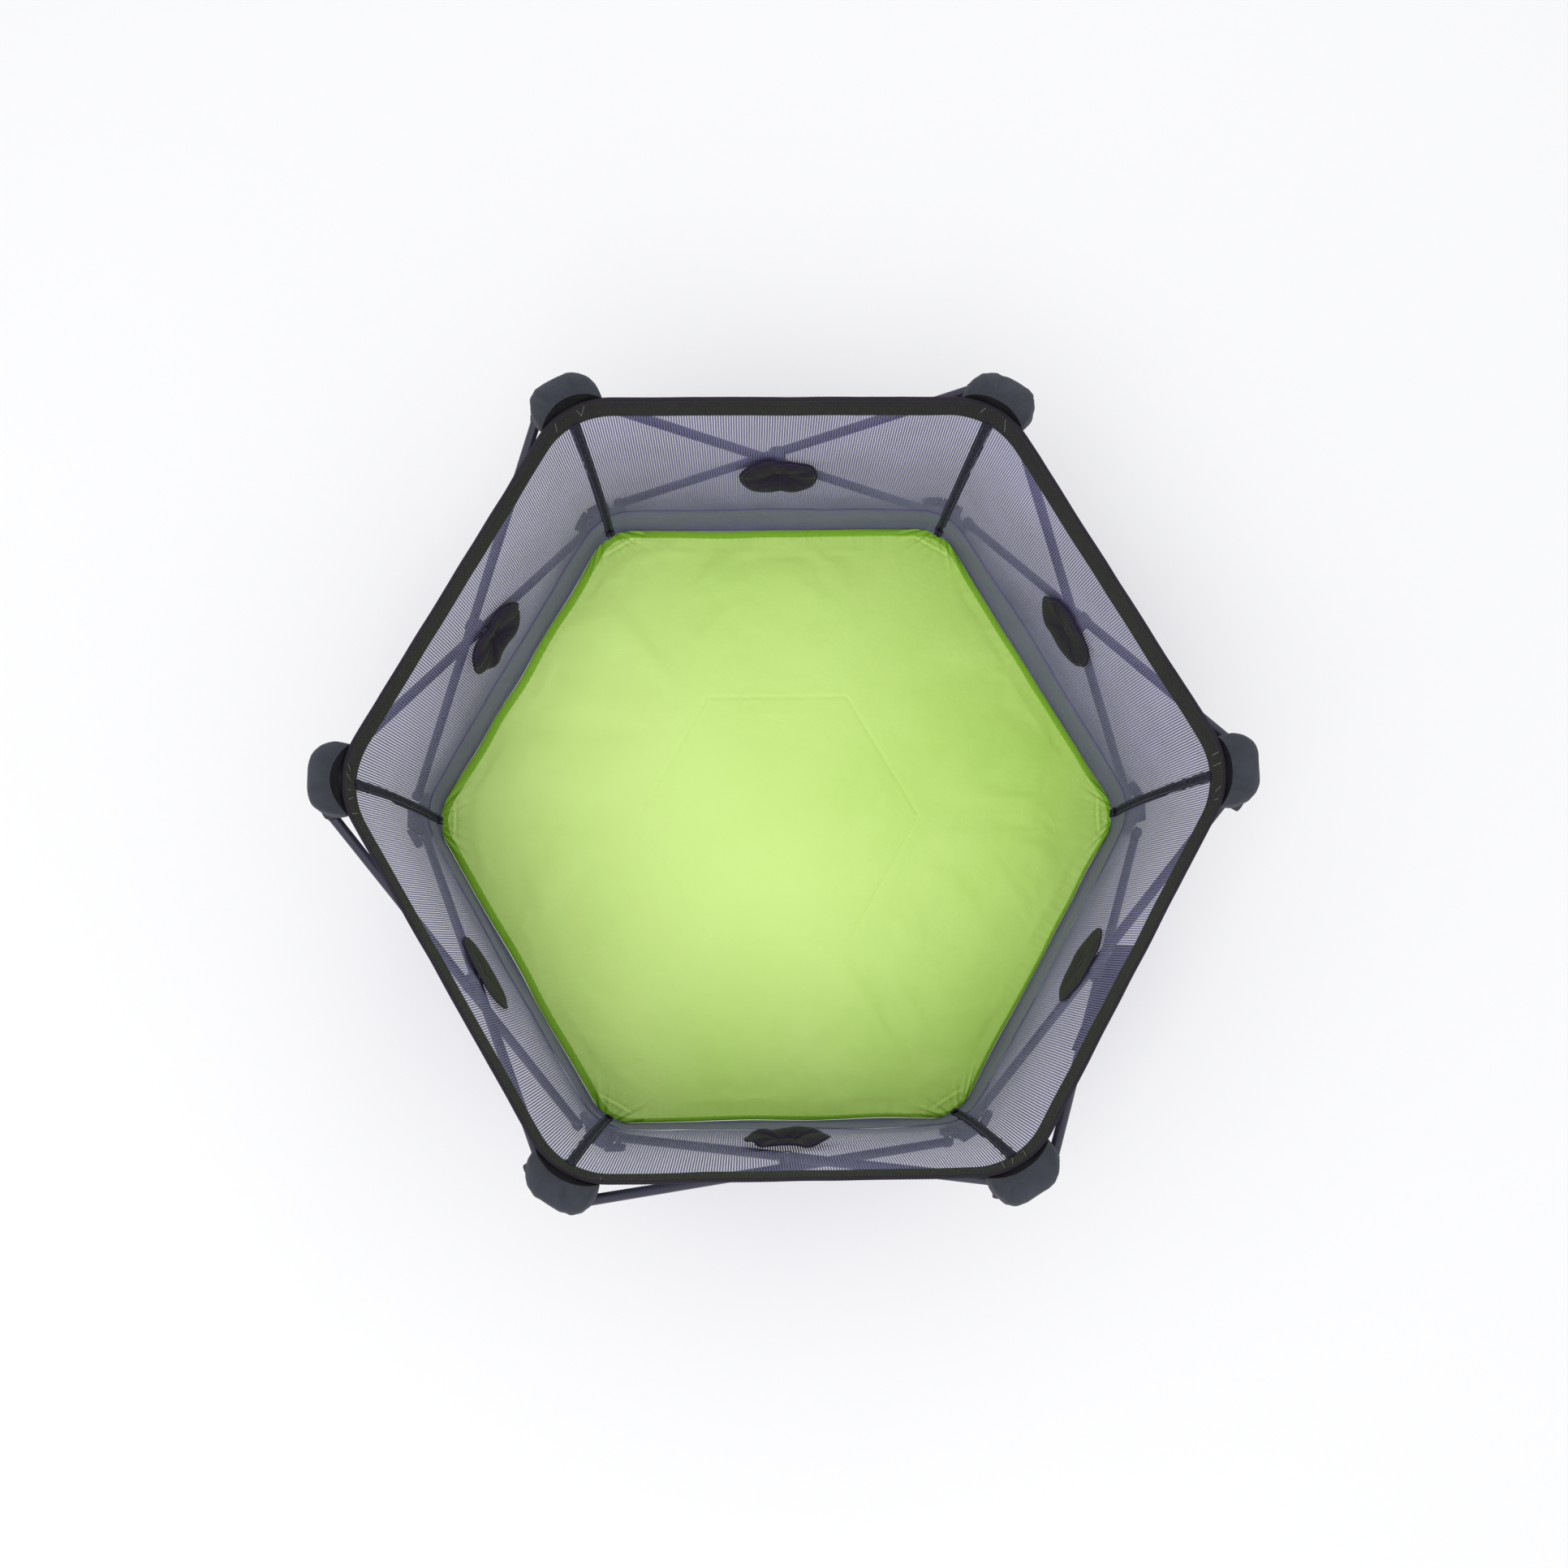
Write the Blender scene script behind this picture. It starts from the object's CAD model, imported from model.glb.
# A six-sided folding playpen. A ring of crossed bars holds up a netting tub with a webbing
# rim and a padded green floor. Lengths are metres, +Z is up and the pen stands open.
import math
import random

import bmesh
import bpy
import numpy as np
from mathutils import Matrix, Vector, noise


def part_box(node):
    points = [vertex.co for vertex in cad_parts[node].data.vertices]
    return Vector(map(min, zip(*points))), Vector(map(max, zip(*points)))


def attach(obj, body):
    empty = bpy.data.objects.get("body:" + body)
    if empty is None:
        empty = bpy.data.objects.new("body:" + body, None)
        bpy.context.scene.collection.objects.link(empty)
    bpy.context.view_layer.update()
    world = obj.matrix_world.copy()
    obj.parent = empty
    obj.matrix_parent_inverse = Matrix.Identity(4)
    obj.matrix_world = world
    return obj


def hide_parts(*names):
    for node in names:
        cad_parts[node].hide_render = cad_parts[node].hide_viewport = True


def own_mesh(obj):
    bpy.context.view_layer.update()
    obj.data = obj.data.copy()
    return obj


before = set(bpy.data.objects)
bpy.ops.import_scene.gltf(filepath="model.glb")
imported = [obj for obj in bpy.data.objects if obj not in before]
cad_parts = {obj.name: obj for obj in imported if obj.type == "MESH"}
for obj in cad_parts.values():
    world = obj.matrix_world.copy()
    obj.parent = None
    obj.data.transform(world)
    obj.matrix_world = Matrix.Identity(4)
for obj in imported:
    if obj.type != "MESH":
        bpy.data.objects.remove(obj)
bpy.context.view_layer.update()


# The room: a plain pale floor under a soft white sky, with one wide soft light high at the
# front left and a weaker one at the back. Shader sums are written as Python sums on Wires.
class Wire:
    """A shader socket that Python's operators work on. node() adds any other node."""

    def __init__(self, tree, socket=None):
        self.tree = tree
        self.socket = socket

    def node(self, kind, settings=(), sockets=(), out=0):
        made = self.tree.nodes.new(kind)
        for name, value in dict(settings).items():
            setattr(made, name, value)
        for name, value in dict(sockets).items():
            self.plug(made.inputs[name], value)
        return Wire(self.tree, made.outputs[out])

    def plug(self, socket, value):
        if isinstance(value, Wire):
            self.tree.links.new(value.socket, socket)
        else:
            socket.default_value = value

    def maths(self, operation, *values):
        return self.node("ShaderNodeMath", {"operation": operation}, enumerate(values))

    def __add__(self, other):
        return self.maths("ADD", self, other)

    def __radd__(self, other):
        return self.maths("ADD", other, self)

    def __sub__(self, other):
        return self.maths("SUBTRACT", self, other)

    def __rsub__(self, other):
        return self.maths("SUBTRACT", other, self)

    def __mul__(self, other):
        return self.maths("MULTIPLY", self, other)

    def __rmul__(self, other):
        return self.maths("MULTIPLY", other, self)

    def step(self, low, high):
        sockets = {"Value": self, "From Min": low, "From Max": high}
        return self.node("ShaderNodeMapRange", {"interpolation_type": "SMOOTHSTEP"}, sockets)

    def stretched(self, x, y, z):
        return self.node("ShaderNodeVectorMath", {"operation": "MULTIPLY"}, {0: self, 1: (x, y, z)})

    def cloud(self, scale, detail=2.0, roughness=0.5):
        sockets = {"Vector": self, "Scale": scale, "Detail": detail, "Roughness": roughness}
        return self.node("ShaderNodeTexNoise", (), sockets)

    def part(self, axis):
        return self.node("ShaderNodeSeparateXYZ", (), {0: self}, axis)

    def between(self, dark, light):
        sockets = {0: self, 6: (*dark, 1), 7: (*light, 1)}
        return self.node("ShaderNodeMix", {"data_type": "RGBA"}, sockets, 2)

    def sine(self):
        return self.maths("SINE", self)

    def woven(self, pitch):
        """Threads over and under each other, this far apart."""
        threads = self.stretched(2 * math.pi / pitch, 2 * math.pi / pitch, 1)
        return threads.part(0).sine() * threads.part(1).sine()

    def raised(self, height, strength, distance):
        sockets = {"Height": height, "Strength": strength, "Distance": distance}
        return self.node("ShaderNodeBump", (), sockets)


def new_finish(name, roughness, **fixed):
    """A material, the Wire to its object coordinates or UV map, and its shader's sockets."""
    material = bpy.data.materials.new(name)
    material.use_nodes = True
    sockets = material.node_tree.nodes["Principled BSDF"].inputs
    sockets["Roughness"].default_value = roughness
    for socket, value in fixed.items():
        sockets[socket.replace("_", " ")].default_value = value
    place = Wire(material.node_tree).node("ShaderNodeTexCoord", out=3)
    return material, place, sockets


def new_cloth(name, roughness, **fixed):
    material, place, sockets = new_finish(name, roughness, **fixed)
    return material, place.node("ShaderNodeUVMap", {"uv_map": "cloth"}), sockets


def dress(sockets, colour, bump=None, roughness=None):
    """Plugs a finish's colour, and its bumps and roughness where it has them."""
    for socket, wire in (("Base Color", colour), ("Normal", bump), ("Roughness", roughness)):
        if wire is not None:
            wire.plug(sockets[socket], wire)


FLOOR_REACH = 30
scene = bpy.context.scene
scene.view_settings.view_transform = "Standard"

floor_mesh = bpy.data.meshes.new("floor")
corners = [(-1, -1), (1, -1), (1, 1), (-1, 1)]
floor_spots = [(x * FLOOR_REACH, y * FLOOR_REACH, -0.0004) for x, y in corners]
floor_mesh.from_pydata(floor_spots, [], [(0, 1, 2, 3)])
floor = bpy.data.objects.new("floor", floor_mesh)
scene.collection.objects.link(floor)
paper, place, sockets = new_finish("white_paper", 0.9, Specular_IOR_Level=0.1)
dress(sockets, place.cloud(0.6).between((0.715, 0.715, 0.715), (0.73, 0.73, 0.73)))
floor_mesh.materials.append(paper)

world = bpy.data.worlds.new("soft_sky")
world.use_nodes = True
world.node_tree.nodes["Background"].inputs["Color"].default_value = (0.98, 0.985, 1.0, 1)
world.node_tree.nodes["Background"].inputs["Strength"].default_value = 1.06
scene.world = world


def soft_light(name, spot, size, power):
    lamp = bpy.data.lights.new(name, "AREA")
    lamp.size = size
    lamp.energy = power
    light = bpy.data.objects.new(name, lamp)
    light.location = spot
    light.rotation_euler = (Vector((0, 0, 0.2)) - Vector(spot)).to_track_quat("-Z", "Y").to_euler()
    scene.collection.objects.link(light)


soft_light("window", (-0.8, -1.5, 4.8), 3.0, 105)
soft_light("back_fill", (1.2, 3.6, 3.2), 2.0, 14)

lens = bpy.data.cameras.new("camera")
lens.lens = 30.94
camera = bpy.data.objects.new("camera", lens)
camera.location = (-0.0548, -0.2252, 2.2826)
camera.rotation_euler = [math.radians(angle) for angle in (7.081, -1.546, -0.764)]
scene.collection.objects.link(camera)
scene.camera = camera


# The scissor frame: painted steel bars with flat eyes, moulded corner brackets, zinc pivot
# pins and rubber feet. Each keeps its shape, with its edges rounded as they are moulded.
SIDES = range(1, 7)


def side_turn(number):
    """Turns X out of the pen through a side, and Y along it."""
    return Matrix.Rotation(math.radians(60 * number - 30), 4, "Z")


def corner_turn(number):
    """Turns X out of the pen through a corner."""
    return Matrix.Rotation(math.radians(60 * number - 60), 4, "Z")


def show(name, mesh, finish, body):
    """Puts a finished mesh in the scene on the body that carries it."""
    mesh.materials.clear()
    for each in finish if isinstance(finish, list) else [finish]:
        mesh.materials.append(each)
    piece = bpy.data.objects.new(name, mesh)
    scene.collection.objects.link(piece)
    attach(piece, body)
    return piece


def rounded_copy(node, finish, body, edge):
    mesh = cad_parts[node].data.copy()
    mesh.name = node
    work = bmesh.new()
    work.from_mesh(mesh)
    bmesh.ops.remove_doubles(work, verts=work.verts, dist=1e-5)
    bmesh.ops.dissolve_limit(work, angle_limit=math.radians(1), verts=work.verts, edges=work.edges)
    work.to_mesh(mesh)
    work.free()
    piece = show(f"{node}_finished", mesh, finish, body)
    mesh.shade_smooth()
    rounding = piece.modifiers.new("rounded_edges", "BEVEL")
    rounding.width = edge
    rounding.segments = 2
    rounding.limit_method = "ANGLE"
    rounding.angle_limit = math.radians(40)
    rounding.harden_normals = True
    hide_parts(node)
    return piece


def powder_coat():
    material, place, sockets = new_finish("powder_coated_steel", 0.45, Metallic=0.25)
    speckle = place.cloud(1400, 3)
    wear = place.cloud(14, 4, 0.65).step(0.62, 0.78)
    colour = (0.25 * speckle + 0.6 * wear).between((0.022, 0.022, 0.04), (0.075, 0.075, 0.11))
    dress(sockets, colour, place.raised(speckle, 0.35, 0.0003), 0.38 + 0.2 * speckle + 0.12 * wear)
    return material


def moulded_plastic():
    material, place, sockets = new_finish("moulded_plastic", 0.55, Specular_IOR_Level=0.45)
    grain = place.cloud(900, 4, 0.7)
    flow = place.cloud(22, 2)
    colour = flow.between((0.012, 0.013, 0.017), (0.026, 0.028, 0.036))
    dress(sockets, colour, place.raised(grain, 0.5, 0.0004), 0.42 + 0.25 * grain)
    return material


def zinc_plate():
    material, place, sockets = new_finish("zinc_plate", 0.3, Metallic=1.0)
    spangle = place.cloud(160, 3)
    colour = spangle.between((0.42, 0.42, 0.43), (0.62, 0.62, 0.6))
    dress(sockets, colour, roughness=0.25 + 0.25 * place.cloud(700, 2))
    return material


def foot_rubber():
    material, place, sockets = new_finish("foot_rubber", 0.85, Specular_IOR_Level=0.3)
    dust = place.cloud(60, 5, 0.7)
    colour = dust.step(0.45, 0.75).between((0.012, 0.012, 0.013), (0.05, 0.049, 0.047))
    dress(sockets, colour, place.raised(place.cloud(500, 3), 0.5, 0.0004))
    return material


steel, plastic, zinc, rubber = powder_coat(), moulded_plastic(), zinc_plate(), foot_rubber()
for number in SIDES:
    rounded_copy(f"inner_bar_{number}", steel, f"inner_bar_{number}", 0.0008)
    rounded_copy(f"outer_bar_{number}", steel, f"outer_bar_{number}", 0.0008)
    rounded_copy(f"centre_pin_{number}", zinc, f"inner_bar_{number}", 0.0008)
    rounded_copy(f"lower_bracket_{number}", plastic, f"lower_corner_{number}", 0.002)
    rounded_copy(f"upper_bracket_{number}", plastic, f"upper_corner_{number}", 0.002)
    rounded_copy(f"foot_{number}", rubber, f"lower_corner_{number}", 0.003)


# The netting sides: six panels of indigo knitted netting, stretched between the corner
# seams and pulled out to each crossing by its patch. They crumple along as the pen folds.
HALF = math.radians(30)
RIM_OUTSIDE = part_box("mesh_side_2")[1].y
RIM_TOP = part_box("mesh_side_2")[1].z
TUB_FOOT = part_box("mesh_side_2")[0].z + 0.002
RIM_HEIGHT = 0.054
NET_FACE = RIM_OUTSIDE - 0.004
RIM_CORNER = 0.062
FLOOR_CORNER = 0.045
PATCH_HEIGHT = (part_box("centre_patch_2")[0].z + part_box("centre_patch_2")[1].z) / 2
SKIRT_TOP = 0.118
NET_ACROSS = 110
NET_UP = 84


def corner_length(height):
    return FLOOR_CORNER + (RIM_CORNER - FLOOR_CORNER) * height / RIM_TOP


def half_length(height):
    length = corner_length(height)
    return NET_FACE * math.tan(HALF) - length + length / math.tan(HALF) * HALF


def tub(along, height, inward=0.0):
    """A point of a side's inner face. along runs from -1 at one corner seam to 1 at the next."""
    length = corner_length(height)
    radius = length / math.tan(HALF)
    centre = (NET_FACE - radius) / math.cos(HALF)
    straight = NET_FACE * math.tan(HALF) - length
    reach = abs(along) * half_length(height)
    if reach <= straight:
        return Vector((NET_FACE - inward, math.copysign(reach, along), height))
    turn = (reach - straight) / radius
    x = centre * math.cos(HALF) + (radius - inward) * math.cos(turn)
    y = centre * math.sin(HALF) + (radius - inward) * math.sin(turn)
    return Vector((x, math.copysign(y, along), height))


def wave(x, y, seed):
    return noise.noise(Vector((x, y, 7.3 * seed)))


def slack(number, along, height):
    """How far the cloth hangs in from the frame: least at its edges and at the patch."""
    up = (height - TUB_FOOT) / (RIM_TOP - RIM_HEIGHT - TUB_FOOT)
    held = math.sin(math.pi * min(max(up, 0), 1))
    side = along * half_length(height)
    from_patch = math.hypot(side, height - PATCH_HEIGHT)
    angle = math.atan2(height - PATCH_HEIGHT, side)
    free = 1 - math.exp(-(from_patch / 0.13) ** 2)
    near_corner = math.exp(-((1 - abs(along)) * half_length(height) / 0.07) ** 2)
    deep = 0.0075 * held * free * (1 - near_corner) + 0.013 * held * near_corner
    deep += 0.004 * held * wave(2.1 * along, 3 * up, number) * (1 - near_corner)
    fan = math.exp(-((from_patch - 0.075) / 0.055) ** 2)
    deep += 0.0013 * fan * math.sin(9 * angle + 4 * wave(angle, 0, number))
    drag = wave(26 * side + 7 * height, 5 * height, number + 11)
    deep += 0.0016 * held * free * drag
    low = max(0.0, 1 - (height - TUB_FOOT) / 0.15)
    deep += 0.0045 * low * held ** 0.3 * wave(9 * side, 55 * height + 5 * side, number + 23)
    deep += 0.004 * low * math.sin(math.pi * min(up * 6, 1)) * wave(5 * side, 12 * height, number + 31)
    return deep


def cloth_grid(name, columns, rows, spot, flat):
    """A quad sheet of columns by rows; spot gives a point and flat its place on the cloth."""
    shares = [(c / columns, r / rows) for r in range(rows + 1) for c in range(columns + 1)]
    mesh = bpy.data.meshes.new(name)
    wide = columns + 1
    faces = []
    for r in range(rows):
        for c in range(columns):
            first = r * wide + c
            faces.append((first, first + 1, first + wide + 1, first + wide))
    mesh.from_pydata([spot(*share) for share in shares], [], faces)
    layer = mesh.uv_layers.new(name="cloth")
    places = [flat(*share) for share in shares]
    for loop in mesh.loops:
        layer.data[loop.index].uv = places[loop.vertex_index]
    mesh.shade_smooth()
    return mesh


def thicken(piece, thickness, offset=0.0):
    wall = piece.modifiers.new("cloth_thickness", "SOLIDIFY")
    wall.thickness = thickness
    wall.offset = offset


def fold_side(piece):
    """Crumples a piece of a side towards the corner that carries it."""
    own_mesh(piece)


def hang(name, mesh, finish, number):
    """Puts a side's cloth on the upper bracket that carries it, ready to fold."""
    mesh.transform(side_turn(number))
    piece = show(name, mesh, finish, f"upper_corner_{number}")
    fold_side(piece)
    return piece


def netting():
    material, place, sockets = new_cloth("indigo_netting", 0.8, Specular_IOR_Level=0.15,
                                         Sheen_Weight=0.1)
    columns = place.part(0) * (1 / 0.0036)
    odd = columns.maths("MODULO", columns.maths("FLOOR", columns), 2.0)
    around = columns * (2 * math.pi)
    rib = around.maths("COSINE", around)
    rung_place = (place.part(1) * (1 / 0.0031) + 0.5 * odd) * (2 * math.pi)
    yarn = rib + 0.3 * rung_place.maths("COSINE", rung_place)
    knit = place.part(1).step(0.10, 0.24)
    body = place.cloud(7, 3, 0.6)
    colour = (0.8 * body + 0.22 * rib * knit).step(0.05, 0.75).between(
        (0.074, 0.067, 0.160), (0.196, 0.177, 0.380))
    place.plug(sockets["Base Color"], colour)
    open_share = 0.60 + 0.30 * place.part(1).step(0.2, 0.45)
    place.plug(sockets["Alpha"], 0.97 - 0.85 * knit * open_share * (0 - yarn).step(0.1, 0.8))
    place.plug(sockets["Normal"], place.raised(yarn * knit, 0.5, 0.0005))
    return material


net_cloth = netting()
net_low = SKIRT_TOP - 0.006
net_high = RIM_TOP - RIM_HEIGHT + 0.004
for number in SIDES:
    def net_spot(u, v):
        height = net_low + (net_high - net_low) * v
        along = 2 * u - 1
        return tub(along, height, slack(number, along, height) - 0.0012)

    def net_flat(u, v):
        height = net_low + (net_high - net_low) * v
        return ((2 * u - 1) * half_length(height) + number, height)

    mesh = cloth_grid(f"netting_{number}", NET_ACROSS, NET_UP, net_spot, net_flat)
    panel = hang(f"netting_{number}", mesh, net_cloth, number)
    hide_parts(f"mesh_side_{number}")
    2 * half_length(0.3)


# The small pieces outside the netting: a navy pocket flap that hangs under the rim on the
# sixth side, and a short tab of tape sewn low on the fourth. Both are sewn to their panels.
def outside_piece(name, number, start, end, top, deep, finish):
    """A flat piece behind a side's netting, between two places along it, deep(share) tall."""
    def spot(u, v):
        along = start + (end - start) * u
        height = top - deep(u) * v
        share = along / half_length(height)
        sway = 0.0012 * wave(30 * along, 40 * height, number + 90)
        return tub(share, height, slack(number, share, height) - 0.0042 + sway)

    def flat(u, v):
        return ((end - start) * u + number, deep(u) * v)

    mesh = cloth_grid(name, 40, 16, spot, flat)
    piece = hang(name, mesh, finish, number)
    thicken(piece, 0.0008)
    return piece


def navy_cloth():
    material, place, sockets = new_cloth("navy_cloth", 0.8, Specular_IOR_Level=0.15)
    colour = place.cloud(25, 4).between((0.016, 0.014, 0.032), (0.034, 0.03, 0.065))
    dress(sockets, colour, place.raised(place.woven(0.001), 0.4, 0.0004))
    return material


def pocket_depth(share):
    """The flap's depth, from its short end to its long one."""
    return 0.050 + 0.030 * math.sin(math.pi * min(share / 0.8, 1) / 2) + 0.068 * max(0.0, share - 0.5)


navy = navy_cloth()
flap_top = RIM_TOP - RIM_HEIGHT + 0.004
pocket = outside_piece("pocket_flap_6", 6, -0.125, 0.036, flap_top, pocket_depth, navy)
tab = outside_piece("tape_tab_4", 4, 0.046, 0.068, 0.050, lambda share: 0.028, navy)


# The skirts: a band of plain proofed nylon round the tub's foot, wrinkled where it meets
# the floor pad, with its top hem turned over and topstitched to the netting.
SKIRT_UP = 30
HEM = 0.009
TUCK_HEIGHT = 0.026
PAD_MARGIN = 0.002
EDGE_WAVE = 0.0035


def pad_outline(number, along):
    """The floor pad's edge in plan, in its side's frame: wavy between its corners."""
    edge = tub(along, 0.0, PAD_MARGIN)
    dip = EDGE_WAVE * (0.6 + wave(3.1 * along, 0.5, number + 80))
    edge.x -= max(dip, 0) * (1 - along ** 6)
    return edge


def proofed_nylon():
    material, place, sockets = new_cloth("proofed_nylon", 0.6, Specular_IOR_Level=0.25,
                                         Sheen_Weight=0.1)
    shade = place.cloud(16, 4, 0.6)
    colour = shade.between((0.098, 0.088, 0.200), (0.182, 0.164, 0.350))
    bump = place.raised(place.woven(2 * math.pi / 2600) + 6 * place.cloud(60, 3), 0.25, 0.0006)
    dress(sockets, colour, bump, 0.42 + 0.2 * shade)
    return material


skirt_cloth = proofed_nylon()
for number in SIDES:
    def skirt_spot(u, v):
        height = TUB_FOOT + (SKIRT_TOP - TUB_FOOT) * v
        along = 2 * u - 1
        tucked = max(0.0, 1 - height / TUCK_HEIGHT) ** 1.5
        inside = NET_FACE - pad_outline(number, along).x - 0.0008
        return tub(along, height, slack(number, along, height) + inside * tucked)

    def skirt_flat(u, v):
        return ((2 * u - 1) * half_length(0) + number, v * SKIRT_TOP)

    mesh = cloth_grid(f"skirt_{number}", NET_ACROSS, SKIRT_UP, skirt_spot, skirt_flat)
    skirt = hang(f"skirt_{number}", mesh, skirt_cloth, number)
    thicken(skirt, 0.0007)
    2 * half_length(0)


# The rim: ribbed black webbing folded over the tub's top edge, rounded at each corner and
# topstitched in two rows on both faces. Pale tacks show where it is pulled into the covers.
RIM_STEPS = 72
RIM_IN = 0.001
RIM_OUT = 0.004
EDGE_ROUND = 0.0016


def tube_mesh(name, rings, flats, closed_ends=True):
    """A closed skin over rings of points. flats gives each ring's cloth places, and one more."""
    count = len(rings[0])
    mesh = bpy.data.meshes.new(name)
    faces = []
    places = []
    for r in range(len(rings) - 1):
        for c in range(count):
            after = (c + 1) % count
            faces.append((r * count + c, r * count + after, (r + 1) * count + after, (r + 1) * count + c))
            places += [flats[r][c], flats[r][c + 1], flats[r + 1][c + 1], flats[r + 1][c]]
    if closed_ends:
        for ring in (0, len(rings) - 1):
            faces.append(tuple(ring * count + c for c in range(count)))
            places += flats[ring][:count]
    mesh.from_pydata([point for ring in rings for point in ring], [], faces)
    layer = mesh.uv_layers.new(name="cloth")
    for loop, spot in zip(mesh.loops, places):
        layer.data[loop.index].uv = spot
    work = bmesh.new()
    work.from_mesh(mesh)
    bmesh.ops.recalc_face_normals(work, faces=work.faces)
    for face in work.faces:
        face.smooth = len(face.verts) == 4
    for edge in work.edges:
        edge.smooth = all(len(face.verts) == 4 for face in edge.link_faces)
    work.to_mesh(mesh)
    work.free()
    return mesh


def rounded_section(low_x, high_x, low_y, high_y, edge, steps=3):
    points = []
    middles = [(high_x - edge, high_y - edge), (low_x + edge, high_y - edge),
               (low_x + edge, low_y + edge), (high_x - edge, low_y + edge)]
    for quarter, (x, y) in enumerate(middles):
        for step in range(steps + 1):
            angle = math.pi / 2 * (quarter + step / steps)
            points.append((x + edge * math.cos(angle), y + edge * math.sin(angle)))
    return points


def girths(section):
    """How far round the section each point is, ending back at the first."""
    found = [0.0]
    for first, second in zip(section, section[1:] + section[:1]):
        found.append(found[-1] + math.dist(first, second))
    return found


def ribbed_webbing():
    material, place, sockets = new_cloth("ribbed_webbing", 0.75, Specular_IOR_Level=0.15,
                                         Sheen_Weight=0.04)
    run = place.part(0) * (2 * math.pi / 0.0021)
    across = place.part(1) * (2 * math.pi / 0.0085)
    rib = (run + 1.6 * across.sine()).sine()
    fuzz = place.cloud(420, 3, 0.7)
    tone = place.cloud(18, 3)
    colour = (0.35 * rib + 0.5 * fuzz + 0.4 * tone).step(0.0, 1.0).between(
        (0.008, 0.006, 0.010), (0.036, 0.028, 0.042))
    dress(sockets, colour, place.raised(rib + 0.8 * fuzz, 0.8, 0.0006), 0.6 + 0.25 * fuzz)
    return material


def rim_lean(number, along):
    """The webbing's slight waviness: (inwards, upwards)."""
    return 0.0008 * wave(5 * along, 0, number + 40), -0.0008 * abs(wave(7 * along, 3, number + 41))


webbing = ribbed_webbing()
rim_section = rounded_section(-RIM_OUT, RIM_IN, RIM_TOP - RIM_HEIGHT, RIM_TOP, EDGE_ROUND)
rim_girths = girths(rim_section)
for number in SIDES:
    rings = []
    flats = []
    for step in range(RIM_STEPS + 1):
        along = 2 * step / RIM_STEPS - 1
        ease = 1 - along ** 8
        shift, lift = (ease * value for value in rim_lean(number, along))
        rings.append([tub(along, height + lift, inward + shift) for inward, height in rim_section])
        place_along = along * half_length(RIM_TOP) + number
        flats.append([(place_along, girth) for girth in rim_girths])
    rim = hang(f"rim_{number}", tube_mesh(f"rim_{number}", rings, flats), webbing, number)
    2 * half_length(RIM_TOP)


# Stitching: every seam is sewn with its own thread, one short raised stitch after another,
# along the lines that the seam's section gives.
def stitch_tree():
    tree = bpy.data.node_groups.new("stitches", "GeometryNodeTree")
    interface = tree.interface
    interface.new_socket("Seam", in_out="INPUT", socket_type="NodeSocketGeometry")
    inputs = {}
    for name, kind, value in (("Pitch", "NodeSocketFloat", 0.004), ("Width", "NodeSocketFloat", 0.0005),
                              ("Length", "NodeSocketFloat", 0.0015), ("Thread", "NodeSocketMaterial", None)):
        socket = interface.new_socket(name, in_out="INPUT", socket_type=kind)
        if value is not None:
            socket.default_value = value
        inputs[name] = socket.identifier
    interface.new_socket("Stitches", in_out="OUTPUT", socket_type="NodeSocketGeometry")
    source = tree.nodes.new("NodeGroupInput")
    curve = tree.nodes.new("GeometryNodeMeshToCurve")
    points = tree.nodes.new("GeometryNodeCurveToPoints")
    points.mode = "LENGTH"
    bead = tree.nodes.new("GeometryNodeMeshUVSphere")
    bead.inputs["Segments"].default_value = 6
    bead.inputs["Rings"].default_value = 4
    bead.inputs["Radius"].default_value = 1.0
    size = tree.nodes.new("ShaderNodeCombineXYZ")
    spread = tree.nodes.new("GeometryNodeInstanceOnPoints")
    real = tree.nodes.new("GeometryNodeRealizeInstances")
    painted = tree.nodes.new("GeometryNodeSetMaterial")
    result = tree.nodes.new("NodeGroupOutput")
    for first, out, second, into in (
            (source, "Seam", curve, "Mesh"), (curve, "Curve", points, "Curve"),
            (source, "Pitch", points, "Length"), (points, "Points", spread, "Points"),
            (points, "Rotation", spread, "Rotation"), (bead, "Mesh", spread, "Instance"),
            (source, "Width", size, "X"), (source, "Width", size, "Y"), (source, "Length", size, "Z"),
            (size, "Vector", spread, "Scale"), (spread, "Instances", real, "Geometry"),
            (real, "Geometry", painted, "Geometry"), (source, "Thread", painted, "Material"),
            (painted, "Geometry", result, "Stitches")):
        tree.links.new(first.outputs[out], second.inputs[into])
    return tree, inputs


def thread(name, dark, light):
    material, place, sockets = new_finish(name, 0.6, Sheen_Weight=0.2)
    dress(sockets, place.cloud(300, 3).between(dark, light), place.raised(place.cloud(2500, 2), 0.4, 0.0003))
    return material


stitches, stitch_inputs = stitch_tree()


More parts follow.
